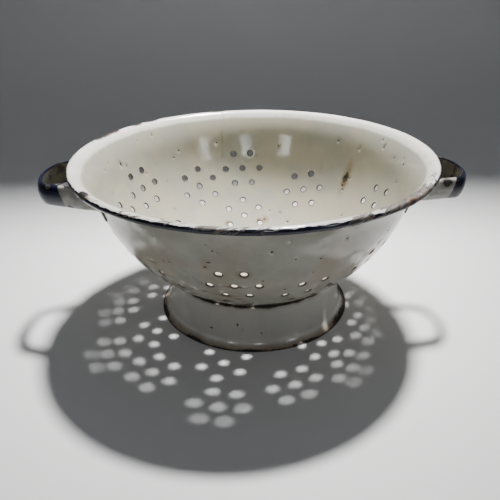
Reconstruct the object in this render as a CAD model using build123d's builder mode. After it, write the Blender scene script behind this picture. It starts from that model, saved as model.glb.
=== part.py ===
from build123d import *
import math
import os

# A footed colander in enamelled sheet steel, in millimetres.
# The origin is at the centre of the foot, on the surface that it stands on, with +Z up.
# The two handles lie along +X and -X.

os.makedirs("parts", exist_ok=True)

# ---------------------------------------------------------------- driving dimensions

SHEET = 1.0                     # steel sheet with its enamel on both faces

# bowl, outer face of the wall as radius and height
FLAT_RADIUS = 15.0              # flat middle of the bottom
BOTTOM_HEIGHT = 18.0
SEAM = (62.0, 31.5)             # where the foot ring meets the bowl
WALL_TOP = (110.0, 96.0)        # the wall turns outwards above this
FLARE_TOP = (120.8, 116.0)
LIP_RADIUS = 6.0                # the flare rolls over into the bead
BEAD_INNER_RADIUS = 1.25
BEAD_TURN = 245.0               # degrees of the rolled edge

# drain holes, punched seven at a time: six round one
HOLE_DIAMETER = 4.2
HOLE_PITCH = 15.2
BOTTOM_CLUSTER_RADIUS = 35.0

# each cluster: azimuth, height of its middle hole, turn of its ring of six
HIGH_CLUSTERS = [
    (152, 75, -3),
    (95, 73, 0),
    (14, 67.5, -7),
    (-40, 65, 0),
    (-97.5, 67, 3),
    (-155, 70, 0),
]
MIDDLE_CLUSTERS = [
    (175, 62.5, 39),
    (119.5, 63, 39),
    (61, 59.5, 43),
    (-13, 57, 30),
    (-68, 55, 2),
    (-131, 56, 2),
]
LOW_CLUSTERS = [
    (153, 39, 30),
    (96, 39, 30),
    (14, 38, 30),
    (-42, 37, 30),
    (-103, 36.5, 30),
    (-156, 38, 30),
]

# foot ring, outer face of the skirt
FLANGE_RADIUS = 54.0            # inner edge of the flange welded under the bowl
FLANGE_END = 59.8
SHOULDER_RADIUS = 2.0
NECK_TILT = 2.0                 # degrees off vertical at the neck
SKIRT_BOTTOM = (66.6, 5.2)
FOOT_RADIUS = 71.8

# handles, outer face of the strap
HANDLE_HEIGHT = 98.6            # middle of the strap
STRAP_WIDTH = 15.4
STRAP_CROWN = 25.0              # degrees that the strap's face turns each side of its middle
STRAP_BEND = 1.9                # outer radius of the turned-in edges
STRAP_LIP = 1.2                 # flat end of the turned-in edges
LEG_RUN = 46.0                  # leg length before it is trimmed to the wall
TAB_LENGTH = 19.0
TAB_ROUND = 4.0

# the handles were bent by hand, so each has a run of its own
RIGHT_RUN = {
    "reach": 150.2,             # from the axis to the middle of the grip
    "lean": 9.0,                # degrees that the grip's lower edge leans in
    "grip_radius": 42.0,
    "grip_half_angle": 29.0,
    "corner_radius": 8.0,
    "leg_splay": 12.0,          # degrees that each leg turns away from the X axis
    "tab_azimuth": 20.5,        # middle of the tab welded to the wall
}
LEFT_RUN = {
    "reach": 152.4,
    "lean": 5.0,
    "grip_radius": 50.0,
    "grip_half_angle": 24.0,
    "corner_radius": 13.0,
    "leg_splay": 20.0,
    "tab_azimuth": 25.0,
}


# ---------------------------------------------------------------- shared geometry

def tangent_angle(line):
    """Angle of the end of a line above the horizontal, in degrees."""
    direction = line % 1
    return math.degrees(math.atan2(direction.Y, direction.X))


def beside(line, position, distance):
    """Point at a distance to the left of a line."""
    direction = line % position
    return line @ position + Vector(-direction.Y, direction.X) * distance


def draw_sheet(lines, thickness):
    """Close a chain of tangent lines into the section of a sheet on its left side."""
    Line(lines[0] @ 0, beside(lines[0], 0, thickness))
    for line in lines:
        start, end = beside(line, 0, thickness), beside(line, 1, thickness)
        if line.geom_type == GeomType.LINE:
            Line(start, end)
        else:
            ThreePointArc(start, beside(line, 0.5, thickness), end)
    Line(lines[-1] @ 1, beside(lines[-1], 1, thickness))


# the bowl's outer face, on local X and Y
with BuildLine() as wall:
    FLOOR = Line((0, BOTTOM_HEIGHT), (FLAT_RADIUS, BOTTOM_HEIGHT))
    BASE_ARC = TangentArc(FLOOR @ 1, SEAM, tangent=FLOOR % 1)
    SIDE_ARC = TangentArc(BASE_ARC @ 1, WALL_TOP, tangent=BASE_ARC % 1)
    FLARE_ARC = TangentArc(SIDE_ARC @ 1, FLARE_TOP, tangent=SIDE_ARC % 1)


def hole_planes(arc, azimuth, height, turn, skip=()):
    """Planes on an arc of the wall for one cluster, each facing straight out of the wall."""
    centre, radius = arc.arc_center, arc.radius
    slope = math.acos((centre.Y - height) / radius)
    offsets = [(0.0, 0.0)]
    for index in range(6):
        if index not in skip:
            angle = math.radians(turn + 60 * index)
            offsets.append((HOLE_PITCH * math.cos(angle), HOLE_PITCH * math.sin(angle)))
    planes = []
    for across, up in offsets:
        tilt = slope + up / radius
        out = centre.X + radius * math.sin(tilt)
        around = math.radians(azimuth) + across / out
        outward = Vector(math.cos(around), math.sin(around), 0)
        point = outward * out + Vector(0, 0, centre.Y - radius * math.cos(tilt))
        normal = outward * math.sin(tilt) - Vector(0, 0, math.cos(tilt))
        planes.append(Plane(origin=point, z_dir=normal))
    return planes


# ---------------------------------------------------------------- bowl

with BuildPart() as bowl:
    with BuildSketch(Plane.XZ):
        with BuildLine():
            add(wall.line)
            lip = JernArc(FLARE_ARC @ 1, FLARE_ARC % 1, LIP_RADIUS, -tangent_angle(FLARE_ARC))
            bead = JernArc(lip @ 1, lip % 1, BEAD_INNER_RADIUS, -BEAD_TURN)
            draw_sheet([FLOOR, BASE_ARC, SIDE_ARC, FLARE_ARC, lip, bead], SHEET)
        make_face()
    revolve(axis=Axis.Z)

    drain_planes = []
    for cluster in HIGH_CLUSTERS + MIDDLE_CLUSTERS:
        drain_planes += hole_planes(SIDE_ARC, *cluster)
    for cluster in LOW_CLUSTERS:
        # the lowest hole of these would fall on the foot ring's flange
        drain_planes += hole_planes(SIDE_ARC, *cluster, skip=(4,))
    bottom_cluster_height = BASE_ARC.arc_center.Y - math.sqrt(
        BASE_ARC.radius**2 - (BOTTOM_CLUSTER_RADIUS - BASE_ARC.arc_center.X) ** 2
    )
    for azimuth in (35, 155, 275):
        drain_planes += hole_planes(BASE_ARC, azimuth, bottom_cluster_height, 30)
    with Locations(*drain_planes):
        Hole(HOLE_DIAMETER / 2, depth=3 * SHEET)

    with Locations(Plane((0, 0, BOTTOM_HEIGHT), z_dir=(0, 0, -1))):
        Hole(HOLE_DIAMETER / 2, depth=3 * SHEET)
        with PolarLocations(HOLE_PITCH, 6):
            Hole(HOLE_DIAMETER / 2, depth=3 * SHEET)

bowl.part.label = "bowl"
export_step(bowl.part, "parts/bowl.step")


# ---------------------------------------------------------------- foot ring

def base_point(radius):
    """Point at a radius on the bowl's lower arc, on local X and Y."""
    centre = BASE_ARC.arc_center
    return (radius, centre.Y - math.sqrt(BASE_ARC.radius**2 - (radius - centre.X) ** 2))


with BuildPart() as foot_ring:
    with BuildSketch(Plane.XZ):
        with BuildLine():
            middle = base_point((FLANGE_RADIUS + FLANGE_END) / 2)
            flange = ThreePointArc(base_point(FLANGE_RADIUS), middle, base_point(FLANGE_END))
            shoulder_turn = tangent_angle(flange) + 90 - NECK_TILT
            shoulder = JernArc(flange @ 1, flange % 1, SHOULDER_RADIUS, -shoulder_turn)
            skirt = TangentArc(shoulder @ 1, SKIRT_BOTTOM, tangent=shoulder % 1)
            foot = TangentArc(skirt @ 1, (FOOT_RADIUS, 0), tangent=skirt % 1)
            draw_sheet([flange, shoulder, skirt, foot], -SHEET)
        make_face()
    revolve(axis=Axis.Z)
    # the edge is ground flat where it stands
    split(bisect_by=Plane.XY, keep=Keep.TOP)

foot_ring.part.label = "foot_ring"
export_step(foot_ring.part, "parts/foot_ring.step")


# ---------------------------------------------------------------- handles

with BuildPart() as wall_skin:
    # one more sheet lying on the outside of the wall, that the tabs are cut from
    with BuildSketch(Plane.XZ):
        with BuildLine():
            add([SIDE_ARC, FLARE_ARC])
            draw_sheet([SIDE_ARC, FLARE_ARC], -SHEET)
        make_face()
    revolve(axis=Axis.Z)


def handle_half(reach, lean, grip_radius, grip_half_angle, corner_radius, leg_splay, tab_azimuth):
    """Half of a handle on the +X side, from the middle of its grip to its tab."""
    tab_outward = Vector(1, 0, 0).rotate(Axis.Z, -tab_azimuth)
    tab_plane = Plane(origin=(0, 0, HANDLE_HEIGHT), x_dir=(0, 0, 1), z_dir=tab_outward)
    with BuildPart() as tab:
        with BuildSketch(tab_plane):
            RectangleRounded(STRAP_WIDTH, TAB_LENGTH, TAB_ROUND)
        extrude(amount=reach)
        add(wall_skin.part, mode=Mode.INTERSECT)

    section_axis = Vector(1, 0, 0).rotate(Axis.Y, lean)
    section_plane = Plane(origin=(reach, 0, HANDLE_HEIGHT), x_dir=section_axis, z_dir=(0, -1, 0))
    with BuildPart() as half:
        with BuildLine(Plane.XY.offset(HANDLE_HEIGHT)) as run:
            grip = CenterArc((reach - grip_radius, 0), grip_radius, 0, -grip_half_angle)
            corner_turn = 90 - grip_half_angle - leg_splay
            corner = JernArc(grip @ 1, grip % 1, corner_radius, -corner_turn)
            Line(corner @ 1, corner @ 1 + corner % 1 * LEG_RUN)
        with BuildSketch(section_plane):
            with BuildLine():
                bend_turn = 90 - STRAP_CROWN
                bend_rise = STRAP_BEND * (1 - math.cos(math.radians(bend_turn)))
                bend_run = STRAP_BEND * math.sin(math.radians(bend_turn))
                face_radius = (STRAP_WIDTH / 2 - bend_rise) / math.sin(math.radians(STRAP_CROWN))
                face_bulge = face_radius * (1 - math.cos(math.radians(STRAP_CROWN)))
                bend_start = Vector(-face_bulge - bend_run, -STRAP_WIDTH / 2)
                lower_lip = Line(bend_start - Vector(STRAP_LIP, 0), bend_start)
                lower_bend = JernArc(lower_lip @ 1, lower_lip % 1, STRAP_BEND, bend_turn)
                face = JernArc(lower_bend @ 1, lower_bend % 1, face_radius, 2 * STRAP_CROWN)
                upper_bend = JernArc(face @ 1, face % 1, STRAP_BEND, bend_turn)
                upper_lip = Line(upper_bend @ 1, upper_bend @ 1 + upper_bend % 1 * STRAP_LIP)
                draw_sheet([lower_lip, lower_bend, face, upper_bend, upper_lip], SHEET)
            make_face()
        sweep(path=run.line)
        # the strap ends at the wall
        with BuildSketch(Plane.XZ):
            with BuildLine():
                add([SIDE_ARC, FLARE_ARC])
                Polyline(FLARE_ARC @ 1, (0, FLARE_TOP[1]), (0, SEAM[1]), SEAM)
            make_face()
        revolve(axis=Axis.Z, mode=Mode.SUBTRACT)
        add(tab.part)
    return half.part


right_half = handle_half(**RIGHT_RUN)
left_half = handle_half(**LEFT_RUN)

with BuildPart() as right_handle:
    add(right_half)
    mirror(about=Plane.XZ)

right_handle.part.label = "right_handle"
export_step(right_handle.part, "parts/right_handle.step")

with BuildPart() as left_handle:
    mirror(left_half, about=Plane.YZ)
    mirror(about=Plane.XZ)

left_handle.part.label = "left_handle"
export_step(left_handle.part, "parts/left_handle.step")
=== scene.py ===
import math
import random
from collections import namedtuple

import bmesh
import bpy
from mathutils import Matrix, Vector, noise
from mathutils.geometry import delaunay_2d_cdt


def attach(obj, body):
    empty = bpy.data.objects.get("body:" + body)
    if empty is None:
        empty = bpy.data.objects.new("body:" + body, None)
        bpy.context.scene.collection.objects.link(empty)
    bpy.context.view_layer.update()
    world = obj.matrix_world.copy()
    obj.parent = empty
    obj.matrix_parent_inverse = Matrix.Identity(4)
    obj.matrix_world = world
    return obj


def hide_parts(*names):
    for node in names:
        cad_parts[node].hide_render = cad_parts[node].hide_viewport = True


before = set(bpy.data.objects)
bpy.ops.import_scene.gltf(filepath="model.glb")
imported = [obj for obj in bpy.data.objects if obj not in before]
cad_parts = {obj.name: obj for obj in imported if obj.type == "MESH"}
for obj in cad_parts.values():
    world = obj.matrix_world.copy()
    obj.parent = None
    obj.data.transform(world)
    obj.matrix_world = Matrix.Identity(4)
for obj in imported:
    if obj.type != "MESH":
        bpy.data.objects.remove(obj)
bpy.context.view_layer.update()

MM = 0.001

# -------- sizes in millimetres, as in the CAD model

SHEET = 1.0

FLAT_RADIUS = 15.0
BOTTOM_HEIGHT = 18.0
SEAM = (62.0, 31.5)
WALL_TOP = (110.0, 96.0)
FLARE_TOP = (120.8, 116.0)
LIP_RADIUS = 6.0
BEAD_INNER_RADIUS = 1.25
BEAD_TURN = 245.0

HOLE_RADIUS = 2.1
HOLE_PITCH = 15.2
BOTTOM_CLUSTER_RADIUS = 35.0

# azimuth, height of the middle hole and turn of the ring of six
HIGH_CLUSTERS = [
    (152, 75, -3),
    (95, 73, 0),
    (14, 67.5, -7),
    (-40, 65, 0),
    (-97.5, 67, 3),
    (-155, 70, 0),
]
MIDDLE_CLUSTERS = [
    (175, 62.5, 39),
    (119.5, 63, 39),
    (61, 59.5, 43),
    (-13, 57, 30),
    (-68, 55, 2),
    (-131, 56, 2),
]
LOW_CLUSTERS = [
    (153, 39, 30),
    (96, 39, 30),
    (14, 38, 30),
    (-42, 37, 30),
    (-103, 36.5, 30),
    (-156, 38, 30),
]
BOTTOM_AZIMUTHS = (35, 155, 275)

FLANGE_RADIUS = 54.0
FLANGE_END = 59.8
SHOULDER_RADIUS = 2.0
NECK_TILT = 2.0
SKIRT_BOTTOM = (66.6, 5.2)
FOOT_RADIUS = 71.8
GROOVE = (62.2, 30.8)           # between the bowl and the foot ring, as radius and height

HANDLE_HEIGHT = 98.6
STRAP_WIDTH = 15.4
STRAP_CROWN = 25.0
STRAP_BEND = 1.9
STRAP_LIP = 1.2
BEND_RADIUS = 6.0               # where a leg turns onto its tab, in this script alone
TAB_LENGTH = 19.0
TAB_ROUND = 5.0                 # a little more than in the CAD model
RIGHT_RUN = {
    "reach": 150.2,
    "lean": 9.0,
    "grip_radius": 42.0,
    "grip_half_angle": 29.0,
    "corner_radius": 8.0,
    "leg_splay": 12.0,
    "tab_azimuth": 20.5,
}
LEFT_RUN = {
    "reach": 152.4,
    "lean": 5.0,
    "grip_radius": 50.0,
    "grip_half_angle": 24.0,
    "corner_radius": 13.0,
    "leg_splay": 20.0,
    "tab_azimuth": 25.0,
}


# -------- profiles made of tangent arcs

class Profile:
    """A chain of tangent arcs in a plane, read by its arc length."""

    def __init__(self, start, heading):
        self.pieces = []
        self.point = start
        self.heading = math.radians(heading)
        self.length = 0.0

    def add(self, length, curvature):
        self.pieces.append((self.length, self.point, self.heading, length, curvature))
        self.point, self.heading = self.along(self.pieces[-1], length)
        self.length += length
        return self

    def turn(self, radius, degrees):
        """An arc of a radius, to the left if degrees is above 0."""
        angle = math.radians(degrees)
        return self.add(radius * abs(angle), math.copysign(1 / radius, angle))

    def arc_to(self, end):
        """The one arc that leaves along the heading and reaches a point."""
        across, up = end[0] - self.point[0], end[1] - self.point[1]
        half = math.atan2(up, across) - self.heading
        chord = math.hypot(across, up)
        if abs(half) < 1e-9:
            return self.add(chord, 0.0)
        radius = chord / (2 * math.sin(half))
        return self.add(2 * half * radius, 1 / radius)

    @staticmethod
    def along(piece, distance):
        _, (x, y), heading, _, curvature = piece
        if curvature == 0.0:
            return (x + distance * math.cos(heading), y + distance * math.sin(heading)), heading
        end = heading + distance * curvature
        point = (
            x + (math.sin(end) - math.sin(heading)) / curvature,
            y - (math.cos(end) - math.cos(heading)) / curvature,
        )
        return point, end

    def at(self, distance):
        """Point and heading at an arc length."""
        chosen = self.pieces[0]
        for piece in self.pieces:
            if piece[0] <= distance:
                chosen = piece
        return self.along(chosen, distance - chosen[0])


def bowl_profile():
    """The outer face of the bowl's sheet, from the axis to the end of the rolled edge."""
    wall = Profile((0.0, BOTTOM_HEIGHT), 0.0)
    wall.add(FLAT_RADIUS, 0.0)
    wall.arc_to(SEAM)
    wall.arc_to(WALL_TOP)
    wall.arc_to(FLARE_TOP)
    wall.turn(LIP_RADIUS, -math.degrees(wall.heading))
    wall.turn(BEAD_INNER_RADIUS, -BEAD_TURN)
    return wall


class Softened:
    """A profile whose bends set in gradually, as in pressed sheet, read from a table."""

    def __init__(self, profile, reach_at):
        self.profile = profile
        self.count = round(profile.length / 0.2)
        self.step = profile.length / self.count
        self.rows = []
        for i in range(self.count + 1):
            distance = i * self.step
            reach = min(reach_at(distance), distance, profile.length - distance)
            sums = [0.0, 0.0, 0.0]
            for k in range(-6, 7):
                (x, y), heading = profile.at(distance + reach * k / 7)
                for index, value in enumerate((x, y, heading)):
                    sums[index] += value * (7 - abs(k)) / 49
            self.rows.append(sums)

    def at(self, distance):
        """Point and heading at an arc length."""
        if distance >= self.profile.length:
            return self.profile.at(distance)
        row = min(self.count - 1, int(distance / self.step))
        part = distance / self.step - row
        x, y, heading = [a + (b - a) * part for a, b in zip(self.rows[row], self.rows[row + 1])]
        return (x, y), heading


def bend_reach(distance):
    """How far the bowl's profile is softened at an arc length."""
    for start, end, first, last in (
        (SIDE_END + 6, FLARE_END - 2, 8.0, 2.0),
        (FLARE_END - 2, LIP_END, 2.0, 0.5),
    ):
        if distance < end:
            part = max(0.0, (distance - start) / (end - start))
            return first + (last - first) * part
    return 0.4


BOWL = bowl_profile()
FLOOR_END, SEAM_AT, SIDE_END, FLARE_END, LIP_END = [piece[0] for piece in BOWL.pieces[1:]]
SOFT_BOWL = Softened(BOWL, bend_reach)


def wall_point(distance, azimuth, depth):
    """A point of the bowl's wall. depth is measured inwards from its outer face."""
    (radius, height), heading = SOFT_BOWL.at(distance)
    radius -= depth * math.sin(heading)
    height += depth * math.cos(heading)
    return Vector((radius * math.cos(azimuth), radius * math.sin(azimuth), height))


def wall_distance(height):
    """Arc length at a height of the outer face, below the lip."""
    low, high = FLOOR_END, FLARE_END
    for _ in range(40):
        middle = (low + high) / 2
        if BOWL.at(middle)[0][1] < height:
            low = middle
        else:
            high = middle
    return low


# -------- mesh helpers

def link(name, data):
    """A new object of the scene."""
    thing = bpy.data.objects.new(name, data)
    bpy.context.scene.collection.objects.link(thing)
    return thing


def make_object(name, points, faces, material, fields):
    """A smooth-shaded mesh object from points in millimetres. fields holds numbers kept on each point."""
    mesh = bpy.data.meshes.new(name)
    mesh.from_pydata([(x * MM, y * MM, z * MM) for x, y, z in points], [], faces)
    work = bmesh.new()
    work.from_mesh(mesh)
    bmesh.ops.recalc_face_normals(work, faces=work.faces)
    work.to_mesh(mesh)
    work.free()
    mesh.polygons.foreach_set("use_smooth", [True] * len(mesh.polygons))
    for label, values in fields.items():
        mesh.attributes.new(label, "FLOAT", "POINT").data.foreach_set("value", values)
    mesh.materials.append(material)
    return link(name, mesh)


def add_strip(faces, below, above):
    """Quads between two closed rings of the same number of points."""
    count = len(below)
    for i in range(count):
        j = (i + 1) % count
        faces.append((below[i], below[j], above[j], above[i]))


# -------- bowl

def waviness(point):
    """How far pressed and fired sheet strays from its true shape at a point."""
    broad = noise.noise(Vector(point) / 55.0)
    fine = noise.noise(Vector(point) / 17.0 + Vector((9.1, 3.7, 5.2)))
    return 0.22 * broad + 0.07 * fine


def bowl_point(distance, azimuth, depth):
    """A point of the bowl's wall with its slight waviness."""
    point = wall_point(distance, azimuth, 0.0)
    push = waviness(point) * min(1.0, max(0.0, (distance - SEAM_AT) / 12.0))
    return wall_point(distance, azimuth, depth + push)


def hole_centres():
    """Arc length and azimuth of every drain hole."""
    centres = []

    def cluster(distance, azimuth, turn, skip=()):
        centres.append((distance, azimuth))
        for index in range(6):
            if index in skip:
                continue
            angle = math.radians(turn + 60 * index)
            along = distance + HOLE_PITCH * math.sin(angle)
            radius = BOWL.at(along)[0][0]
            centres.append((along, azimuth + HOLE_PITCH * math.cos(angle) / radius))

    for azimuth, height, turn in HIGH_CLUSTERS + MIDDLE_CLUSTERS:
        cluster(wall_distance(height), math.radians(azimuth), turn)
    for azimuth, height, turn in LOW_CLUSTERS:
        cluster(wall_distance(height), math.radians(azimuth), turn, skip=(4,))
    slope = math.asin((BOTTOM_CLUSTER_RADIUS - FLAT_RADIUS) * BOWL.pieces[1][4])
    for azimuth in BOTTOM_AZIMUTHS:
        cluster(FLOOR_END + slope / BOWL.pieces[1][4], math.radians(azimuth), 30)
    centres.append((0.0, 0.0))
    centres += [(HOLE_PITCH, math.radians(60 * index)) for index in range(6)]
    return centres


HOLE_SIDES = 20                 # corners of each hole
# rings that round a hole's edge: radius past the hole's wall, depth in the sheet, closeness to the edge
HOLE_RINGS = [(1.15, 0.0, 0.0), (0.6, -0.07, 0.5), (0.2, -0.03, 0.85), (0.03, 0.16, 1.0)]
GRID = 2.7                      # spacing of the mesh between the holes
PIERCED_END = wall_distance(113.0)
ROUND = 540                     # points round the rim
TURNS = [2 * math.pi * i / ROUND for i in range(ROUND)]
# spacing along the plain wall, the lip and the rolled edge
RIM_STEPS = [(PIERCED_END, FLARE_END, 1.6), (FLARE_END, LIP_END, 0.75), (LIP_END, BOWL.length, 0.42)]
RIM_REACH = -9.0               # wear on the rim starts this far before the top of the lip


def unroll(distance, azimuth):
    """A place on the wall's flat plan."""
    return Vector((distance * math.cos(azimuth), distance * math.sin(azimuth)))


def around_hole(centre, radius):
    """Arc lengths and azimuths of a circle on the wall round a hole's centre."""
    distance, azimuth = centre
    middle = unroll(distance, azimuth)
    ring = []
    for i in range(HOLE_SIDES):
        angle = 2 * math.pi * i / HOLE_SIDES
        across, up = radius * math.cos(angle), radius * math.sin(angle)
        if distance < FLOOR_END + 1:
            spot = middle + Vector((across, up))
            ring.append((spot.length, math.atan2(spot.y, spot.x)))
        else:
            along = distance + up
            ring.append((along, azimuth + across / BOWL.at(along)[0][0]))
    return ring


def hole_wear(centres):
    """How worn each hole's edge is, outside and inside, from 0 to 1."""
    wear = []
    for distance, azimuth in centres:
        place = wall_point(distance, azimuth, 0.0) / 21.0
        outside = 0.85 + 0.45 * noise.noise(place)
        inside = 0.80 + 0.5 * noise.noise(place + Vector((40.0, 7.0, 3.0)))
        wear.append((min(1.0, max(0.3, outside)), min(1.0, max(0.25, inside))))
    return wear


# -------- wear on the bowl

# Many azimuths and heights below were worked out by a separate program.

# a chip: azimuth, height, half its width and half its height
INSIDE_CHIPS = [
    (39.9, 75.6, 1.7, 1.3), (38.0, 73.9, 1.5, 0.9), (40.6, 77.9, 0.6, 1.1),
    (37.4, 76.2, 0.7, 0.4), (39.8, 69.3, 0.9, 0.9), (38.9, 66.6, 0.7, 0.5),
    (125.8, 93.5, 0.6, 0.5), (129.2, 89.0, 0.5, 0.4), (48.9, 101.6, 0.8, 0.6),
    (159.5, 98.6, 0.8, 1.3), (156.5, 95.3, 0.4, 0.4), (139.6, 112.0, 0.9, 0.5),
    (27.1, 111.0, 0.7, 0.5), (64.5, 36.4, 1.1, 0.6), (30.6, 50.5, 0.6, 0.5),
    (77.4, 91.5, 0.7, 0.6), (7.3, 103.5, 0.6, 0.7), (79.0, 42.1, 0.7, 0.5),
    (71.4, 41.0, 0.5, 0.4), (174.9, 77.6, 0.7, 0.5),
]
OUTSIDE_CHIPS = [
    (-85.3, 96.8, 0.7, 0.8), (-61.9, 99.0, 1.0, 0.4), (-102.7, 96.7, 0.7, 0.4),
    (-121.7, 80.7, 0.5, 0.5), (-119.1, 81.4, 0.5, 0.4), (-127.6, 76.6, 2.4, 0.6),
    (-104.4, 87.6, 1.3, 0.4), (-106.0, 83.4, 0.8, 0.6), (-69.4, 87.4, 0.7, 0.4),
    (-77.8, 89.7, 0.5, 0.4), (-43.4, 83.6, 0.6, 1.4), (-108.2, 62.6, 2.0, 0.5),
    (-110.6, 56.8, 1.6, 0.5), (-97.5, 50.0, 1.4, 0.4),
]

# soft marks: azimuth, height, half width, half height and strength
INSIDE_STAINS = [
    (39.5, 76.0, 3.2, 11.0, 0.75), (38.5, 68.0, 2.0, 5.0, 0.55), (39.6, 75.4, 2.2, 2.4, 1.5),
    (38.2, 71.0, 1.2, 2.2, 1.2), (103.6, 98.0, 1.0, 10.0, 0.6), (104.6, 82.0, 0.9, 10.0, 0.45),
    (36.0, 50.0, 0.9, 6.0, 0.4), (54.7, 79.0, 1.6, 9.0, 0.3), (81.3, 36.4, 2.6, 1.6, 0.9),
    (85.6, 35.6, 2.0, 1.5, 1.0), (108.6, 35.2, 2.6, 1.4, 1.0), (88.3, 82.4, 2.2, 0.9, 0.9),
    (119.5, 66.0, 2.6, 1.4, 0.6), (10.6, 82.0, 1.8, 1.6, 0.8), (160.0, 82.0, 1.0, 7.0, 0.35),
    (139.0, 88.0, 1.2, 9.0, 0.3),
]
OUTSIDE_STAINS = [
    (-97.6, 66.6, 7.0, 0.9, 1.0), (-102.0, 54.6, 7.0, 0.9, 1.0), (-104.8, 46.4, 6.0, 1.0, 0.9),
    (-106.9, 65.9, 2.0, 1.4, 0.9), (-93.9, 78.8, 3.4, 2.4, 1.0), (-128.5, 76.6, 4.0, 1.2, 0.7),
    (-105.2, 86.0, 4.0, 5.0, 0.45), (-69.5, 96.8, 2.6, 3.0, 0.5), (-52.8, 75.0, 0.8, 6.0, 0.7),
    (-61.0, 46.0, 8.0, 1.2, 0.7), (-75.0, 42.0, 10.0, 1.4, 0.6), (-112.0, 41.0, 12.0, 1.6, 0.7),
]

# wear on the rim: azimuth, distance past the top of the lip, half width, half length and strength
RIM_CHIPS = [
    (158.5, 0.1, 8.0, 2.2, 1.0), (151.6, -0.1, 4.5, 1.5, 1.0), (139.6, -0.3, 5.0, 1.6, 1.0),
    (133.0, -0.2, 6.5, 1.3, 1.0), (104.5, 0.0, 5.0, 1.2, 1.0), (72.0, -1.6, 0.8, 0.6, 0.8),
    (49.0, -0.8, 0.7, 0.6, 0.8), (-143.3, 0.4, 4.5, 2.6, 1.0), (-45.0, 2.6, 3.4, 2.0, 1.0),
    (-60.5, 0.8, 2.4, 1.1, 0.8), (28.0, 0.6, 3.0, 1.0, 0.8), (-172.0, 2.8, 2.6, 1.0, 0.8),
]
RIM_SCUFFS = [
    (-44.0, -1.0, 34.0, 5.0, 1.3), (-62.0, 0.6, 14.0, 2.6, 1.0), (-98.0, 0.6, 22.0, 2.2, 0.95),
    (-124.0, 0.8, 12.0, 2.4, 0.75), (-112.0, -0.6, 16.0, 2.0, 0.7), (-130.0, -2.6, 34.0, 2.0, 0.5),
    (-22.0, -0.8, 16.0, 3.0, 0.75), (-140.0, 0.4, 10.0, 2.2, 0.7), (155.0, 0.0, 24.0, 2.6, 0.85),
    (118.0, 1.2, 26.0, 1.8, 0.55), (60.0, 1.4, 30.0, 1.6, 0.5),
]
OUTSIDE, INSIDE = 0, 1
CHIP_EDGE = "chip edge"
Chip = namedtuple("Chip", "middle reach distance azimuth across up side seed")

# numbers kept on each point of the bowl and the foot ring, for the enamel to read
ENAMEL_FIELDS = ("along", "outside", "hole", "chip", "stain", "scuff")
CHIP_DEPTH = 0.14
EDGE_GAP = 0.16                 # width of a chip's slope
CHIP_SEED = 11
SMALL_CHIPS = 150               # tries at a small chip in a place of its own


def swell(marks, azimuth, level, radius):
    """The strongest of the soft marks at a place: 1 at a mark's middle, 0 well outside it."""
    best = 0.0
    for middle, height, across, up, strength in marks:
        turn = (azimuth - math.radians(middle) + math.pi) % (2 * math.pi) - math.pi
        reach = math.hypot(turn * radius / across, (level - height) / up)
        if reach < 2.0:
            best = max(best, strength * (1 - reach / 2.0))
    return best


class Chips:
    """Chips in the enamel of the pierced wall, each with its own ragged outline on the wall's plan."""

    def __init__(self, centres):
        dice = random.Random(CHIP_SEED)
        self.items = []
        self.holes = [unroll(*centre) for centre in centres]
        for side, chips in ((INSIDE, INSIDE_CHIPS), (OUTSIDE, OUTSIDE_CHIPS)):
            for azimuth, height, across, up in chips:
                self.try_to_add(wall_distance(height), math.radians(azimuth), across, up, side, dice)
        for _ in range(SMALL_CHIPS):
            distance = dice.uniform(24.0, PIERCED_END - 3.0)
            azimuth = dice.uniform(-math.pi, math.pi)
            size = 0.22 + 0.5 * dice.random() ** 3
            up = size * dice.uniform(0.6, 1.3)
            side = dice.choice((OUTSIDE, OUTSIDE, INSIDE))
            self.try_to_add(distance, azimuth, size, up, side, dice)

    def try_to_add(self, distance, azimuth, across, up, side, dice):
        """Keeps a chip that is clear of the holes, of the other chips and of the pierced part's edge."""
        middle = unroll(distance, azimuth)
        reach = max(across, up) * 1.25 + EDGE_GAP
        clear = distance + reach < PIERCED_END - 1.0
        clear = clear and all((middle - hole).length > HOLE_RADIUS + 1.35 + reach for hole in self.holes)
        clear = clear and all((middle - one.middle).length > reach + one.reach + 0.5 for one in self.items)
        if clear:
            seed = dice.random() * 100
            self.items.append(Chip(middle, reach, distance, azimuth, across, up, side, seed))

    @staticmethod
    def outline(chip, beyond):
        """Places of a ring round a chip. beyond is measured out from its edge."""
        count = max(8, round(2 * math.pi * max(chip.across, chip.up) / 0.55))
        ring = []
        for i in range(count):
            angle = 2 * math.pi * i / count
            around = Vector((math.cos(angle) * 1.3, math.sin(angle) * 1.3, chip.seed))
            ragged = 1 + 0.22 * noise.noise(around)
            along = chip.distance + (chip.up * ragged + beyond) * math.sin(angle)
            shift = (chip.across * ragged + beyond) * math.cos(angle)
            ring.append((along, chip.azimuth + shift / BOWL.at(along)[0][0]))
        return ring


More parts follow.
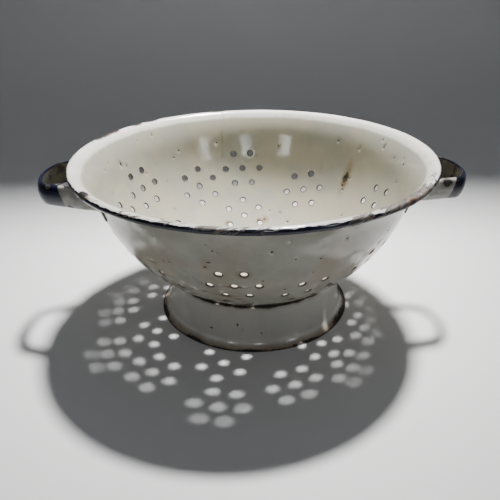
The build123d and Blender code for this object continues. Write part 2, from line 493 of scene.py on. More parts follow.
class Plan:
    """The pierced part unrolled flat: a grid, cleared round each hole and chip, and their outlines."""

    def __init__(self, centres, chips):
        # a point's kind is a hole's number, a chip, a chip's edge or nothing
        self.spots, self.places, self.kinds, self.loops = [], [], [], []
        self.chips = chips
        self.add_grid([unroll(*centre) for centre in centres])
        self.edge = self.add_loop([(PIERCED_END, azimuth) for azimuth in TURNS])
        self.holes = []
        for number, centre in enumerate(centres):
            self.holes.append(self.add_loop(around_hole(centre, HOLE_RADIUS + HOLE_RINGS[0][0]), number))
        for chip in chips.items:
            self.add_loop(chips.outline(chip, EDGE_GAP), CHIP_EDGE)
            self.add_loop(chips.outline(chip, 0.0), chip)
            self.plot(chip.distance, chip.azimuth, chip)

    def plot(self, distance, azimuth, kind=None):
        self.spots.append(unroll(distance, azimuth))
        self.places.append((distance, azimuth))
        self.kinds.append(kind)

    def add_loop(self, places, kind=None):
        """Adds a closed outline and gives the numbers of its points."""
        base = len(self.spots)
        for place in places:
            self.plot(*place, kind)
        self.loops.append(list(range(base, len(self.spots))))
        return self.loops[-1]

    def add_grid(self, holes):
        rows = round(PIERCED_END / GRID)
        for row in range(rows):
            distance = PIERCED_END * row / rows
            radius = max(BOWL.at(distance)[0][0], 0.01)
            count = max(1, round(2 * math.pi * radius / GRID))
            stretch = max(1.0, distance / radius)
            clear_of_hole = HOLE_RADIUS + HOLE_RINGS[0][0] + 0.42 * GRID * stretch
            for i in range(count):
                azimuth = 2 * math.pi * (i + 0.5 * (row % 2)) / count
                spot = unroll(distance, azimuth)
                clear = all((spot - hole).length > clear_of_hole for hole in holes)
                if clear and all(
                    (spot - chip.middle).length > (chip.reach + 0.3 * GRID) * stretch
                    for chip in self.chips.items
                ):
                    self.plot(distance, azimuth)

    def in_hole(self, corners):
        """Whether a triangle's corners all lie on one hole's outline."""
        first, second, third = [self.kinds[corner] for corner in corners]
        return isinstance(first, int) and first == second == third

    def triangles(self):
        """The triangles between the outlines, without those inside a hole."""
        edges = [(loop[i], loop[(i + 1) % len(loop)]) for loop in self.loops for i in range(len(loop))]
        _, _, triangles, origin, _, _ = delaunay_2d_cdt(self.spots, edges, [], 0, 1e-6)
        order = [sources[0] for sources in origin]
        corners = [[order[k] for k in triangle] for triangle in triangles]
        return [three for three in corners if not self.in_hole(three)]


class Wall:
    """The bowl's mesh as it grows, with the numbers that the enamel reads on each point."""

    def __init__(self):
        self.points, self.faces = [], []
        self.fields = {label: [] for label in ENAMEL_FIELDS}

    def put(self, places, depth, hole=0.0, chip=0.0):
        """Adds points of the wall and gives their numbers."""
        base = len(self.points)
        outside = 1.0 - depth / SHEET
        stains = OUTSIDE_STAINS if outside > 0.5 else INSIDE_STAINS
        for distance, azimuth in places:
            point = bowl_point(distance, azimuth, depth)
            radius = max(math.hypot(point.x, point.y), 1.0)
            past = distance - LIP_END
            rim = past > RIM_REACH
            self.points.append(point)
            row = (
                past,
                min(1.0, max(0.0, outside)),
                hole,
                max(chip, swell(RIM_CHIPS, azimuth, past, radius) if rim else 0.0),
                swell(stains, azimuth, BOWL.at(distance)[0][1], radius),
                swell(RIM_SCUFFS, azimuth, past, radius) if rim else 0.0,
            )
            for label, value in zip(ENAMEL_FIELDS, row):
                self.fields[label].append(value)
        return list(range(base, len(self.points)))

    def add_side(self, plan, triangles, side):
        """One face of the pierced sheet, with its chips sunk in. Gives the number of its first point."""
        base = len(self.points)
        depth, inwards = (SHEET, -1.0) if side == INSIDE else (0.0, 1.0)
        for place, kind in zip(plan.places, plan.kinds):
            chipped = isinstance(kind, Chip) and kind.side == side
            self.put([place], depth + (CHIP_DEPTH * inwards if chipped else 0.0), chip=float(chipped))
        self.faces.extend(tuple(base + corner for corner in three) for three in triangles)
        return base

    def add_hole(self, centre, wear, outer, inner):
        """A hole's rounded edges and wall, between its outlines on the two faces."""
        rings, far_rings = [outer], [inner]
        for beyond, sink, closeness in HOLE_RINGS[1:]:
            circle = around_hole(centre, HOLE_RADIUS + beyond)
            rings.append(self.put(circle, sink, hole=closeness * wear[0]))
            far_rings.append(self.put(circle, SHEET - sink, hole=closeness * wear[1]))
        middle = self.put(around_hole(centre, HOLE_RADIUS), SHEET / 2, hole=max(wear))
        chain = rings + [middle] + far_rings[::-1]
        for near, far in zip(chain, chain[1:]):
            add_strip(self.faces, near, far)

    def add_rim(self, outer, inner):
        """The plain wall, the lip and the rolled edge with its rounded end."""
        stations = []
        for start, end, step in RIM_STEPS:
            count = max(1, round((end - start) / step))
            stations += [start + (end - start) * (i + 1) / count for i in range(count)]
        ends = []
        for below, depth in ((outer, 0.0), (inner, SHEET)):
            for distance in stations:
                above = self.put([(distance, azimuth) for azimuth in TURNS], depth)
                add_strip(self.faces, below, above)
                below = above
            ends.append(below)
        tip = self.put([(BOWL.length + 0.3, azimuth) for azimuth in TURNS], SHEET / 2)
        for end in ends:
            add_strip(self.faces, end, tip)


def make_bowl(material):
    """The bowl. The same plan is laid on both faces of its sheet, and the holes join them."""
    centres = hole_centres()
    plan = Plan(centres, Chips(centres))
    triangles = plan.triangles()
    wall = Wall()
    bases = [wall.add_side(plan, triangles, side) for side in (OUTSIDE, INSIDE)]
    for centre, wear, loop in zip(centres, hole_wear(centres), plan.holes):
        outer, inner = [[base + corner for corner in loop] for base in bases]
        wall.add_hole(centre, wear, outer, inner)
    wall.add_rim(*[[base + corner for corner in plan.edge] for base in bases])

    bowl = make_object("enamelled_bowl", wall.points, wall.faces, material, wall.fields)
    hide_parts("bowl")
    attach(bowl, "root")


# -------- foot ring

def foot_profile():
    """Outer face of the foot ring's sheet, from the flange's inner edge to the ground."""
    curve = BOWL.pieces[1]
    centre_height = BOTTOM_HEIGHT + 1 / curve[4]

    def under_bowl(radius):
        drop = math.sqrt(1 / curve[4] ** 2 - (radius - FLAT_RADIUS) ** 2)
        return (radius, centre_height - drop)

    start = under_bowl(FLANGE_RADIUS)
    slope = math.degrees(math.asin((FLANGE_RADIUS - FLAT_RADIUS) * curve[4]))
    ring = Profile(start, slope)
    ring.arc_to(under_bowl(FLANGE_END))
    ring.turn(SHOULDER_RADIUS, -(math.degrees(ring.heading) + 90 - NECK_TILT))
    ring.arc_to(SKIRT_BOTTOM)
    ring.arc_to((FOOT_RADIUS, 0.0))
    return ring


FOOT_ROUND = 288                # points round the foot ring
FOOT_STEPS = (2.0, 0.6, 2.0, 0.8)   # spacing along the flange, the shoulder, the skirt and the flare

# azimuth, distance past the bottom edge, half width, half length and strength
FOOT_CHIPS = [
    (-93.0, -0.5, 9.0, 1.6, 1.0), (-60.0, -0.5, 12.0, 1.8, 1.0), (-20.0, -0.5, 16.0, 3.4, 1.0),
    (8.0, -0.5, 14.0, 3.8, 1.0), (-128.0, -0.5, 8.0, 2.0, 1.0), (-165.0, -0.5, 12.0, 2.6, 1.0),
    (60.0, -0.5, 10.0, 2.0, 1.0), (120.0, -0.5, 14.0, 2.4, 1.0), (-101.0, -19.0, 1.0, 1.2, 0.9),
    (-97.5, -16.0, 0.9, 0.9, 0.8), (-86.0, -13.0, 0.8, 0.8, 0.8), (-118.0, -14.0, 1.4, 1.0, 0.9),
]


def make_foot(material):
    """The foot ring, a closed sheet turned round the axis."""
    ring = foot_profile()
    points, faces = [], []
    starts = [piece[0] for piece in ring.pieces] + [ring.length]
    stations = [0.0]
    for start, end, step in zip(starts, starts[1:], FOOT_STEPS):
        count = max(1, round((end - start) / step))
        stations += [start + (end - start) * (i + 1) / count for i in range(count)]

    def place(distance, azimuth, depth):
        (radius, height), heading = ring.at(distance)
        radius += depth * math.sin(heading)
        height -= depth * math.cos(heading)
        spot = Vector((radius * math.cos(azimuth), radius * math.sin(azimuth), height))
        strength = min(1.0, max(0.0, (distance - starts[2]) / 10.0))
        radius += 0.3 * strength * noise.noise(spot / 40.0)
        return Vector((radius * math.cos(azimuth), radius * math.sin(azimuth), max(height, 0.0)))

    outline = [(distance, 0.0) for distance in stations]
    outline += [(ring.length + 0.25, 0.35), (ring.length + 0.1, 0.75)]
    outline += [(distance, SHEET) for distance in stations[::-1]]
    outline += [(-0.3, 0.7), (-0.3, 0.3)]
    fields = {label: [] for label in ENAMEL_FIELDS}
    loops = []
    for distance, depth in outline:
        base = len(points)
        for i in range(FOOT_ROUND):
            azimuth = 2 * math.pi * i / FOOT_ROUND
            past = distance - ring.length
            points.append(place(distance, azimuth, depth))
            fields["along"].append(past)
            fields["outside"].append(1.0 - depth / SHEET)
            fields["hole"].append(0.0)
            fields["chip"].append(swell(FOOT_CHIPS, azimuth, past, FOOT_RADIUS))
            fields["stain"].append(0.0)
            fields["scuff"].append(0.0)
        loops.append(list(range(base, base + FOOT_ROUND)))
    for below, above in zip(loops, loops[1:] + loops[:1]):
        add_strip(faces, below, above)
    foot = make_object("enamelled_foot_ring", points, faces, material, fields)
    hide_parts("foot_ring")
    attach(foot, "root")


# -------- handles

def strap_section():
    """Middle of the strap's sheet from its lower edge to its upper edge, as depth and height."""
    turn = 90 - STRAP_CROWN
    rise = STRAP_BEND * (1 - math.cos(math.radians(turn)))
    face_radius = (STRAP_WIDTH / 2 - rise) / math.sin(math.radians(STRAP_CROWN))
    section = Profile((0.0, 0.0), 0.0)
    section.add(STRAP_LIP, 0.0)
    section.turn(STRAP_BEND - SHEET / 2, turn)
    section.turn(face_radius - SHEET / 2, 2 * STRAP_CROWN)
    section.turn(STRAP_BEND - SHEET / 2, turn)
    section.add(STRAP_LIP, 0.0)
    middle, _ = section.at(section.length / 2)
    return section, middle


class Strap:
    """One half of a handle, from the middle of the grip to the end of its tab."""

    def __init__(self, reach, lean, grip_radius, grip_half_angle, corner_radius, leg_splay, tab_azimuth):
        self.lean = math.radians(lean)
        self.run = Profile((reach, 0.0), -90.0)
        self.run.turn(grip_radius, -grip_half_angle)
        self.run.turn(corner_radius, -(90 - grip_half_angle - leg_splay))
        # the leg goes on until an arc can carry it onto the tab's circle
        heading = self.run.heading
        outward = Vector((-math.sin(heading), math.cos(heading)))
        forward = Vector((math.cos(heading), math.sin(heading)))
        self.tab_distance = wall_distance(HANDLE_HEIGHT)
        self.tab_radius = BOWL.at(self.tab_distance)[0][0] + SHEET
        centre = Vector(self.run.point) + outward * BEND_RADIUS
        ahead = centre.dot(forward)
        along = -ahead - math.sqrt(ahead**2 - centre.length_squared + (self.tab_radius + BEND_RADIUS) ** 2)
        self.run.add(along, 0.0)
        self.bend_start = self.run.length
        centre += forward * along
        self.bend_azimuth = math.atan2(centre.y, centre.x)
        self.run.turn(BEND_RADIUS, math.degrees(self.bend_azimuth - math.pi / 2 - heading))
        self.tab_start = self.run.length
        tab_length = (math.radians(tab_azimuth) + self.bend_azimuth) * self.tab_radius + TAB_LENGTH / 2
        self.length = self.tab_start + tab_length
        self.section, self.middle = strap_section()

    def leg_point(self, distance, place, depth):
        """On the strap: place runs over the section from 0 to 1, and depth goes through the sheet."""
        (x, y), heading = self.run.at(min(distance, self.tab_start))
        over = max(0.0, distance - self.tab_start)
        x += over * math.cos(heading)
        y += over * math.sin(heading)
        outward = Vector((-math.sin(heading), math.cos(heading)))
        (across, up), turned = self.section.at(place * self.section.length)
        across += depth * math.sin(turned) - self.middle[0] - SHEET / 2
        up -= depth * math.cos(turned) + self.middle[1]
        spot = Vector((x, y)) + outward * (across * math.cos(self.lean) + up * math.sin(self.lean))
        height = HANDLE_HEIGHT + up * math.cos(self.lean) - across * math.sin(self.lean)
        return Vector((spot.x, spot.y, height))

    def tab_point(self, distance, place, depth):
        """On the tab, which lies on the bowl's wall."""
        azimuth = self.bend_azimuth - (distance - self.tab_start) / self.tab_radius
        left = max(0.0, self.length - distance)
        width = STRAP_WIDTH + 2.0
        if left < TAB_ROUND:
            width *= 0.55 + 0.45 * math.sqrt(1 - (1 - left / TAB_ROUND) ** 2)
        up = (place - 0.5) * width
        crown = 1 - 0.35 * abs(2 * place - 1) ** 4
        lift = SHEET / 2 + depth * (crown if depth > 0 else 1)
        return wall_point(self.tab_distance + up, azimuth, -max(lift, 0.02))

    def point(self, distance, place, depth):
        blend_start = self.bend_start - 9.0
        blend = (distance - blend_start) / (self.tab_start + 1.0 - blend_start)
        blend = min(1.0, max(0.0, blend))
        blend = blend * blend * (3 - 2 * blend)
        leg = self.leg_point(distance, place, depth)
        if blend == 0.0:
            return leg
        return leg.lerp(self.tab_point(distance, place, depth), blend)


STRAP_STEPS = 130               # along half of a strap
STRAP_ACROSS = 30

# the blue enamel's end, from the bowl's axis, on the strap's upper and lower edge
RIGHT_BLUE = (137.6, 133.4)
LEFT_BLUE = (131.4, 127.0)

# chips on the handles: x, y and z, then reach and strength
RIGHT_CHIPS = [
    (131.0, -25.5, 104.8, 3.2, 1.0),
    (146.0, 18.0, 106.0, 1.8, 0.9),
    (118.0, 28.5, 92.0, 2.2, 0.9),
]
LEFT_CHIPS = [
    (-139.0, -27.5, 106.0, 1.5, 0.9),
    (-124.0, -32.0, 91.2, 3.0, 1.0),
    (-152.0, 2.0, 104.5, 1.0, 0.7),
]


def make_handle(name, node, direction, run, blue_ends, chips, material):
    """A strap handle. direction is +1 for the right one and -1 for the left one."""
    blue_top, blue_bottom = blue_ends
    strap = Strap(**run)
    half = [strap.length * i / STRAP_STEPS for i in range(STRAP_STEPS + 1)]
    stations = [(distance, -1) for distance in half[:0:-1]] + [(distance, 1) for distance in half]
    places = [i / STRAP_ACROSS for i in range(STRAP_ACROSS + 1)]
    outline = [(place, SHEET / 2) for place in places]
    outline += [(1.0, SHEET * 0.25), (1.0, -SHEET * 0.25)]
    outline += [(place, -SHEET / 2) for place in places[::-1]]
    outline += [(0.0, -SHEET * 0.25), (0.0, SHEET * 0.25)]
    points, faces, loops = [], [], []
    fields = {"blue": [], "inner": [], "edge": [], "chip": []}
    for distance, side in stations:
        base = len(points)
        for place, depth in outline:
            spot = strap.point(distance, place, depth)
            points.append(Vector((spot.x * direction, spot.y * side, spot.z)))
            level = (spot.z - HANDLE_HEIGHT) / STRAP_WIDTH + 0.5
            fields["blue"].append(spot.x - blue_bottom - (blue_top - blue_bottom) * level)
            fields["inner"].append(0.5 - depth / SHEET)
            fields["edge"].append(abs(2 * place - 1) ** 6)
            near = [strength * max(0.0, 1 - (points[-1] - Vector(middle)).length / reach / 2)
                    for *middle, reach, strength in chips]
            fields["chip"].append(max(near))
        loops.append(list(range(base, base + len(outline))))
    for below, above in zip(loops, loops[1:]):
        add_strip(faces, below, above)
    faces += [loops[0], loops[-1]]
    handle = make_object(name, points, faces, material, fields)
    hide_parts(node)
    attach(handle, "root")


# -------- materials

class Graph:
    """A material's node tree, written as short calls."""

    def __init__(self, name):
        self.material = bpy.data.materials.new(name)
        self.material.use_nodes = True
        self.tree = self.material.node_tree
        self.shader = self.tree.nodes["Principled BSDF"]
        self.place = self.node("ShaderNodeTexCoord").outputs["Object"]

    def node(self, kind, **settings):
        made = self.tree.nodes.new(kind)
        for key, value in settings.items():
            setattr(made, key, value)
        return made

    def feed(self, socket, value):
        """Links an output to a socket, or sets the socket's own value."""
        if isinstance(value, bpy.types.NodeSocket):
            self.tree.links.new(value, socket)
        else:
            socket.default_value = value

    def math(self, operation, *values):
        made = self.node("ShaderNodeMath", operation=operation)
        for socket, value in zip(made.inputs, values):
            self.feed(socket, value)
        return made.outputs[0]

    def times(self, first, second):
        return self.math("MULTIPLY", first, second)

    def minus(self, first, second):
        return self.math("SUBTRACT", first, second)

    def chain(self, operation, values):
        result = values[0]
        for value in values[1:]:
            result = self.math(operation, result, value)
        return result

    def total(self, *values):
        return self.chain("ADD", values)

    def most(self, *values):
        return self.chain("MAXIMUM", values)

    def step(self, value, low, high, start=0.0, end=1.0):
        """Goes smoothly from start to end as value goes from low to high."""
        made = self.node("ShaderNodeMapRange", interpolation_type="SMOOTHSTEP")
        for label, number in (
            ("Value", value), ("From Min", low), ("From Max", high), ("To Min", start), ("To Max", end),
        ):
            self.feed(made.inputs[label], number)
        return made.outputs["Result"]

    def noise(self, scale, detail=3.0, place=None):
        made = self.node("ShaderNodeTexNoise")
        self.feed(made.inputs["Vector"], place or self.place)
        made.inputs["Scale"].default_value = scale
        made.inputs["Detail"].default_value = detail
        return made.outputs[0]

    def ragged(self, scale, size, detail=3.0, place=None):
        """Noise from -size to size, about."""
        return self.times(self.minus(self.noise(scale, detail, place), 0.5), 2 * size)

    def specks(self, scale, share, radius):
        """Small dark dots: a share of the cells holds one, of up to a radius measured in cells."""
        cells = self.node("ShaderNodeTexVoronoi")
        self.feed(cells.inputs["Vector"], self.place)
        cells.inputs["Scale"].default_value = scale
        size = self.step(cells.outputs["Color"], 1.0 - share, 1.0, -0.05, radius)
        distance = self.total(cells.outputs["Distance"], self.ragged(scale * 9, radius * 0.6))
        return self.step(self.minus(distance, size), 0.0, -0.25 * radius)

    def mix(self, factor, first, second):
        made = self.node("ShaderNodeMix", data_type="RGBA")
        for index, value in ((0, factor), (6, first), (7, second)):
            self.feed(made.inputs[index], value)
        return made.outputs[2]

    def attribute(self, name):
        return self.node("ShaderNodeAttribute", attribute_name=name).outputs["Fac"]

    def vector(self, x, y, z):
        made = self.node("ShaderNodeCombineXYZ")
        for socket, value in zip(made.inputs, (x, y, z)):
            self.feed(socket, value)
        return made.outputs[0]

    def parts(self):
        made = self.node("ShaderNodeSeparateXYZ")
        self.feed(made.inputs[0], self.place)
        return made.outputs

    def bump(self, height_mm):
        """Raises the surface by a height in millimetres."""
        made = self.node("ShaderNodeBump")
        made.inputs["Distance"].default_value = MM
        self.feed(made.inputs["Height"], height_mm)
        self.feed(self.shader.inputs["Normal"], made.outputs["Normal"])


def rgb(red, green, blue):
    return (red, green, blue, 1.0)


WARM_WHITE = rgb(0.88, 0.86, 0.79)
COOL_WHITE = rgb(0.85, 0.84, 0.785)
DULL_WHITE = rgb(0.60, 0.585, 0.52)
# the wall below the lip: age staining with painted shade, the outside colours darker still as painted
# shade
AGED_AND_SHADED_INSIDE = rgb(0.44, 0.41, 0.315)
AGED_AND_SHADED_INSIDE_COOL = rgb(0.375, 0.37, 0.305)
AGED_AND_SHADED_OUTSIDE = rgb(0.36, 0.315, 0.25)
AGED_AND_SHADED_OUTSIDE_COOL = rgb(0.305, 0.30, 0.25)
DRIP = rgb(0.42, 0.375, 0.28)
STAIN = rgb(0.26, 0.18, 0.09)
DARK_STAIN = rgb(0.045, 0.033, 0.02)
STEEL = rgb(0.014, 0.012, 0.011)
RUST = rgb(0.13, 0.05, 0.018)
SCUFF_DARK = rgb(0.032, 0.024, 0.019)
SCUFF_LIGHT = rgb(0.16, 0.13, 0.105)
COBALT = rgb(0.004, 0.006, 0.034)
COBALT_BLACK = rgb(0.003, 0.0035, 0.010)
# the handle legs' white, darkened partly by dirt and partly as painted shade
PALE_LEG = rgb(0.42, 0.405, 0.355)
GREY_LEG = rgb(0.235, 0.228, 0.205)
# grime and painted shade on the handle's inner face
OLIVE_GRIME_AND_SHADE = rgb(0.20, 0.19, 0.135)
BROWN_GRIME_AND_SHADE = rgb(0.07, 0.048, 0.032)


def enamel(name, ageing_and_shade, rim=False, foot_edge=False):
    """White vitreous enamel and its wear, with painted shade below the lip and outside, and with the rim's
    blue edge or the foot's worn one.
    """
    g = Graph(name)
    x, y, z = g.parts()
    radius = g.math("SQRT", g.total(g.times(x, x), g.times(y, y)))
    cosine, sine = g.math("DIVIDE", x, radius), g.math("DIVIDE", y, radius)
    along, outside = g.attribute("along"), g.attribute("outside")
    chip, hole = g.attribute("chip"), g.attribute("hole")
    stain, scuff = g.attribute("stain"), g.attribute("scuff")
    fray = g.ragged(1100, 0.22)

    # the white: clouds, dull patches, age staining and grime with painted shade below the lip, and thin
    # runs down the wall
    colour = g.mix(g.step(g.noise(17, 3), 0.38, 0.62), WARM_WHITE, COOL_WHITE)
    cloud = g.noise(75, 5)
    colour = g.mix(g.step(cloud, 0.46, 0.80, 0.0, 0.45), colour, DULL_WHITE)
    # below the lip the wall turns darker and yellower, partly age staining and partly painted shade,
    # keeping the lip bright where it faces the light
    aged_and_shaded = g.times(g.step(g.total(along, g.ragged(40, 1.2)), -9.5, -6.2, 1.0, 0.0), ageing_and_shade)
    patches = g.step(g.noise(31, 4), 0.40, 0.60)
    aged_and_shaded_inside = g.mix(patches, AGED_AND_SHADED_INSIDE, AGED_AND_SHADED_INSIDE_COOL)
    # the outside is darker than the inside as painted shade on the underside
    aged_and_shaded_outside = g.mix(patches, AGED_AND_SHADED_OUTSIDE, AGED_AND_SHADED_OUTSIDE_COOL)
    colour = g.mix(aged_and_shaded, colour, g.mix(g.step(outside, 0.4, 0.8), aged_and_shaded_inside, aged_and_shaded_outside))
    runs = g.noise(330, 4, g.vector(g.times(cosine, 0.11), g.times(sine, 0.11), g.times(z, 0.14)))
    colour = g.mix(g.step(runs, 0.56, 0.78, 0.0, 0.34), colour, DRIP)
    # grime, heavier on the outside, where part of it is painted shade
    grime_and_shade = g.times(g.step(g.noise(34, 5), 0.42, 0.72), g.step(outside, 0.4, 0.9, 0.10, 0.38))
    colour = g.mix(grime_and_shade, colour, DULL_WHITE)

    # hairline scratches are thin contours of a stretched noise
    tilted = g.vector(g.times(g.total(x, z), 0.30), y, g.minus(z, x))
    contour = g.math("ABSOLUTE", g.minus(g.noise(46, 2, tilted), 0.5))
    gate = g.step(g.noise(60, 2), 0.56, 0.66)
    hairline = g.times(g.step(contour, 0.0042, 0.0016), gate)
    colour = g.mix(g.times(hairline, 0.45), colour, DRIP)

    # soft stains, darker at their middle
    blotch = g.times(stain, g.total(g.noise(420, 4), 0.28))
    colour = g.mix(g.step(blotch, 0.05, 0.55, 0.0, 0.72), colour, STAIN)
    colour = g.mix(g.step(blotch, 0.42, 0.66, 0.0, 0.9), colour, DARK_STAIN)

    # the groove between the bowl and the foot ring
    across = g.math("POWER", g.minus(radius, GROOVE[0] * MM), 2.0)
    up = g.math("POWER", g.minus(z, GROOVE[1] * MM), 2.0)
    groove = g.total(g.times(g.math("SQRT", g.total(across, up)), 1 / MM), g.ragged(140, 1.5, 4))
    outer_half = g.step(outside, 0.3, 0.7)
    groove_mask = g.times(g.step(groove, 1.9, 0.9), outer_half)
    groove_halo = g.times(g.step(groove, 4.2, 1.2, 0.0, 0.45), outer_half)
    colour = g.mix(groove_halo, colour, STAIN)
    colour = g.mix(groove_mask, colour, DARK_STAIN)

    # small dark pits
    pits = g.most(g.specks(150, 0.28, 0.08), g.specks(64, 0.20, 0.05))
    colour = g.mix(g.times(pits, 0.85), colour, DARK_STAIN)

    worn = groove_mask
    if foot_edge:
        band = g.total(along, g.ragged(60, 2.6, 4))
        brown = g.step(band, -9.0, -1.5, 0.0, 0.8)
        bare = g.step(g.total(along, g.ragged(190, 1.5, 4)), -1.5, -0.6)
        colour = g.mix(brown, colour, STAIN)
        colour = g.mix(bare, colour, g.mix(g.noise(500, 3), STEEL, SCUFF_DARK))
        worn = g.most(worn, bare, g.times(brown, 0.5))
    if rim:
        border = g.total(along, g.ragged(210, 0.75, 4))
        blue = g.step(border, 0.8, 1.05)
        cobalt = g.mix(g.step(g.noise(48, 4), 0.40, 0.62), COBALT, COBALT_BLACK)
        colour = g.mix(blue, colour, cobalt)

    # scuffs run round the rim, a little askew
    angle = g.math("ARCTAN2", y, x)
    streak_place = g.vector(
        g.times(cosine, 0.024),
        g.times(sine, 0.024),
        g.total(g.times(along, 0.0011), g.times(angle, 0.040)),
    )
    streak = g.noise(620, 4, streak_place)
    scuffed = g.step(g.total(streak, g.times(scuff, 0.50), g.ragged(700, 0.12)), 0.80, 0.87)
    scuff_colour = g.mix(g.step(g.noise(900, 3, streak_place), 0.40, 0.60), SCUFF_DARK, SCUFF_LIGHT)
    colour = g.mix(g.times(scuffed, 0.92), colour, scuff_colour)

    # worn hole edges and chips down to the steel, with rust round some of them
    hole_halo = g.step(g.total(hole, fray), 0.12, 0.50, 0.0, 0.5)
    bare_hole = g.step(g.total(hole, fray), 0.20, 0.34)
    colour = g.mix(hole_halo, colour, STAIN)
    colour = g.mix(bare_hole, colour, DARK_STAIN)
    rusty = g.step(g.noise(26, 2), 0.50, 0.62)
    halo = g.times(g.step(g.total(chip, fray), 0.20, 0.50), g.total(rusty, 0.25))
    bare_chip = g.step(g.total(chip, fray, g.ragged(380, 0.24)), 0.46, 0.53)
    colour = g.mix(halo, colour, RUST)
    colour = g.mix(bare_chip, colour, g.mix(g.step(g.noise(800, 3), 0.56, 0.80), STEEL, RUST))

    worn = g.most(worn, scuffed, bare_hole, bare_chip, g.times(pits, 0.7))
    g.feed(g.shader.inputs["Base Color"], colour)
    g.feed(g.shader.inputs["Roughness"], g.total(
        g.times(worn, 0.42),
        g.step(cloud, 0.40, 0.75, 0.10, 0.20),
        g.times(hairline, 0.2),
    ))
    g.bump(g.total(
        g.ragged(270, 0.020, 1),
        g.ragged(70, 0.030, 2),
        g.times(worn, -0.07),
        g.times(g.times(worn, fray), 0.12),
    ))
    return g.material


def handle_enamel():
    """Cobalt enamel on the grip and white on the legs, with grime and painted shade on the legs and
    inside, worn along the edges.
    """
    g = Graph("handle enamel")
    blue, inner = g.attribute("blue"), g.attribute("inner")
    edge, chip = g.attribute("edge"), g.attribute("chip")
    fray = g.ragged(1100, 0.22)
    cloud = g.noise(90, 5)
    # white legs darkened partly by dirt and partly as painted shade
    white = g.mix(g.step(cloud, 0.36, 0.64), PALE_LEG, GREY_LEG)
    smears = g.noise(240, 4)
    white = g.mix(g.step(smears, 0.50, 0.70, 0.0, 0.65), white, AGED_AND_SHADED_OUTSIDE_COOL)
    cobalt = g.mix(g.step(g.noise(110, 4), 0.42, 0.66), COBALT, COBALT_BLACK)
    cobalt = g.mix(g.step(smears, 0.62, 0.80, 0.0, 0.25), cobalt, SCUFF_DARK)
    painted = g.step(g.total(blue, g.ragged(260, 0.5, 3)), -0.25, 0.25)
    colour = g.mix(painted, white, cobalt)

    # grime and painted shade on the strap's inner face, deepest away from its edges
    grime_and_shade = g.mix(g.step(g.noise(120, 4), 0.48, 0.62), OLIVE_GRIME_AND_SHADE, BROWN_GRIME_AND_SHADE)
    shade = g.times(g.step(inner, 0.4, 0.9), g.step(edge, 0.75, 0.35, 0.25, 0.92))
    colour = g.mix(shade, colour, grime_and_shade)

    pits = g.specks(190, 0.25, 0.09)
    colour = g.mix(g.times(pits, 0.8), colour, DARK_STAIN)
    rubbed = g.step(g.total(g.times(edge, 0.42), g.noise(180, 4)), 0.90, 0.97)
    colour = g.mix(g.times(rubbed, 0.85), colour, SCUFF_DARK)
    bare = g.step(g.total(chip, fray), 0.44, 0.54)
    colour = g.mix(g.step(g.total(chip, fray), 0.2, 0.5, 0.0, 0.5), colour, STAIN)
    colour = g.mix(bare, colour, STEEL)

    worn = g.most(rubbed, bare, g.times(pits, 0.6))
    g.feed(g.shader.inputs["Base Color"], colour)
    g.feed(g.shader.inputs["Roughness"], g.total(
        g.times(worn, 0.35),
        g.step(cloud, 0.40, 0.75, 0.12, 0.24),
        g.times(shade, 0.25),
    ))
    g.bump(g.total(
        g.ragged(270, 0.020, 1),
        g.ragged(80, 0.035, 2),
        g.times(worn, -0.06),
    ))
    return g.material


def floor_paint():
    """Matt pale paint for the floor and the backdrop."""
    g = Graph("floor paint")
    colour = g.mix(g.noise(6, 3), rgb(0.66, 0.665, 0.67), rgb(0.71, 0.715, 0.72))
    g.feed(g.shader.inputs["Base Color"], colour)
    g.shader.inputs["Roughness"].default_value = 0.55
    return g.material


make_bowl(enamel("bowl enamel", 0.95, rim=True))
make_foot(enamel("foot enamel", 0.55, foot_edge=True))
blue_material = handle_enamel()
make_handle("right_strap_handle", "right_handle", 1, RIGHT_RUN, RIGHT_BLUE, RIGHT_CHIPS, blue_material)
make_handle("left_strap_handle", "left_handle", -1, LEFT_RUN, LEFT_BLUE, LEFT_CHIPS, blue_material)


# -------- camera, floor and light

SENSOR_WIDTH = 36.0             # millimetres, as is the focal length
FOCAL_LENGTH = 41.724
CAMERA_PLACE = (-0.003, -0.3944, 0.244)
CAMERA_PITCH = 27.1             # degrees below the horizon
CAMERA_ROLL = -0.72

BOWL_MIDDLE = (0.0, 0.0, 0.06)
KEY_PLACE = (0.50, 1.36, 3.20)
KEY_TARGET = (0.0, 0.10, 0.0)
KEY_POWER = 2250
KEY_SPREAD = 10.2               # degrees across the cone
WINDOW_PLACES = [(1.20, -1.29, 0.74), (0.18, -1.72, 0.77), (-0.81, -1.50, 0.74)]
WINDOW_SIZE = (0.22, 0.40)
WINDOW_POWER = 2.6
SKY_STRENGTH = (0.03, 0.26)     # level with the object, and straight up


def make_camera():
    data = bpy.data.cameras.new("camera")
    data.sensor_width = SENSOR_WIDTH
    data.lens = FOCAL_LENGTH
    data.clip_start = 0.01
    camera = link("camera", data)
    camera.location = CAMERA_PLACE
    camera.rotation_mode = "ZXY"
    camera.rotation_euler = (math.radians(90 - CAMERA_PITCH), 0, math.radians(CAMERA_ROLL))
    bpy.context.scene.camera = camera


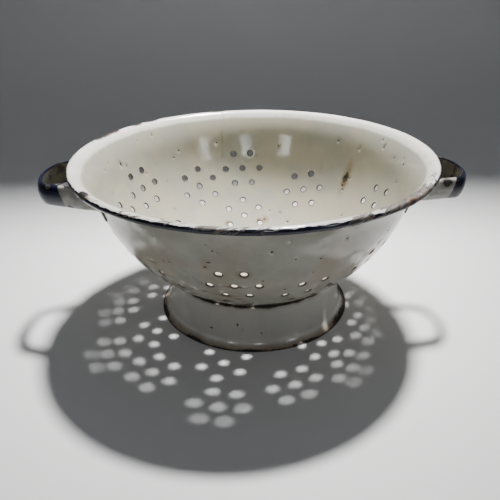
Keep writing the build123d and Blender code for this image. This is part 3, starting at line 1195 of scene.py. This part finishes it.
def make_floor():
    """A floor that sweeps up into a backdrop behind the object."""
    near, far, reach = -6.0, 0.46, 6.0
    curve, height = 0.16, 1.12
    rows = [(near, 0.0), (far, 0.0)]
    for i in range(1, 13):
        angle = math.radians(90 * i / 12)
        rows.append((far + curve * math.sin(angle), curve * (1 - math.cos(angle))))
    rows.append((far + curve, height))
    mesh = bpy.data.meshes.new("floor")
    points = [(side * reach, y, z) for y, z in rows for side in (-1, 1)]
    faces = [(2 * i, 2 * i + 1, 2 * i + 3, 2 * i + 2) for i in range(len(rows) - 1)]
    mesh.from_pydata(points, [], faces)
    mesh.polygons.foreach_set("use_smooth", [True] * len(mesh.polygons))
    mesh.materials.append(floor_paint())
    link("floor", mesh)


def add_light(data, place, target):
    """Puts a light in the scene and turns it to a target."""
    light = link(data.name, data)
    light.location = place
    light.rotation_mode = "QUATERNION"
    light.rotation_quaternion = (Vector(target) - Vector(place)).to_track_quat("-Z", "Y")
    return light


def add_key():
    """The main light: a soft spot from high up behind, with its pool of light round the bowl."""
    data = bpy.data.lights.new("key", "SPOT")
    data.spot_size = math.radians(KEY_SPREAD)
    data.spot_blend = 0.25
    data.shadow_soft_size = 0.25
    data.energy = KEY_POWER
    data.color = (1.0, 0.99, 0.97)
    add_light(data, KEY_PLACE, KEY_TARGET)


def add_windows():
    """Soft lights that show only as reflections in the enamel."""
    for number, place in enumerate(WINDOW_PLACES):
        data = bpy.data.lights.new(f"window_{number}", "AREA")
        data.shape = "RECTANGLE"
        data.size, data.size_y = WINDOW_SIZE
        data.energy = WINDOW_POWER
        data.color = (0.96, 0.98, 1.0)
        add_light(data, place, BOWL_MIDDLE).visible_diffuse = False


def make_world():
    """Dim, even light that grows towards the top."""
    world = bpy.data.worlds.new("studio")
    world.use_nodes = True
    tree = world.node_tree
    direction = tree.nodes.new("ShaderNodeTexCoord")
    parts = tree.nodes.new("ShaderNodeSeparateXYZ")
    strength = tree.nodes.new("ShaderNodeMapRange")
    tree.links.new(direction.outputs["Generated"], parts.inputs[0])
    tree.links.new(parts.outputs["Z"], strength.inputs["Value"])
    strength.inputs["To Min"].default_value, strength.inputs["To Max"].default_value = SKY_STRENGTH
    background = tree.nodes["Background"]
    background.inputs["Color"].default_value = (0.92, 0.95, 1.0, 1)
    tree.links.new(strength.outputs["Result"], background.inputs["Strength"])
    bpy.context.scene.world = world


make_camera()
make_floor()
make_world()
add_key()
add_windows()
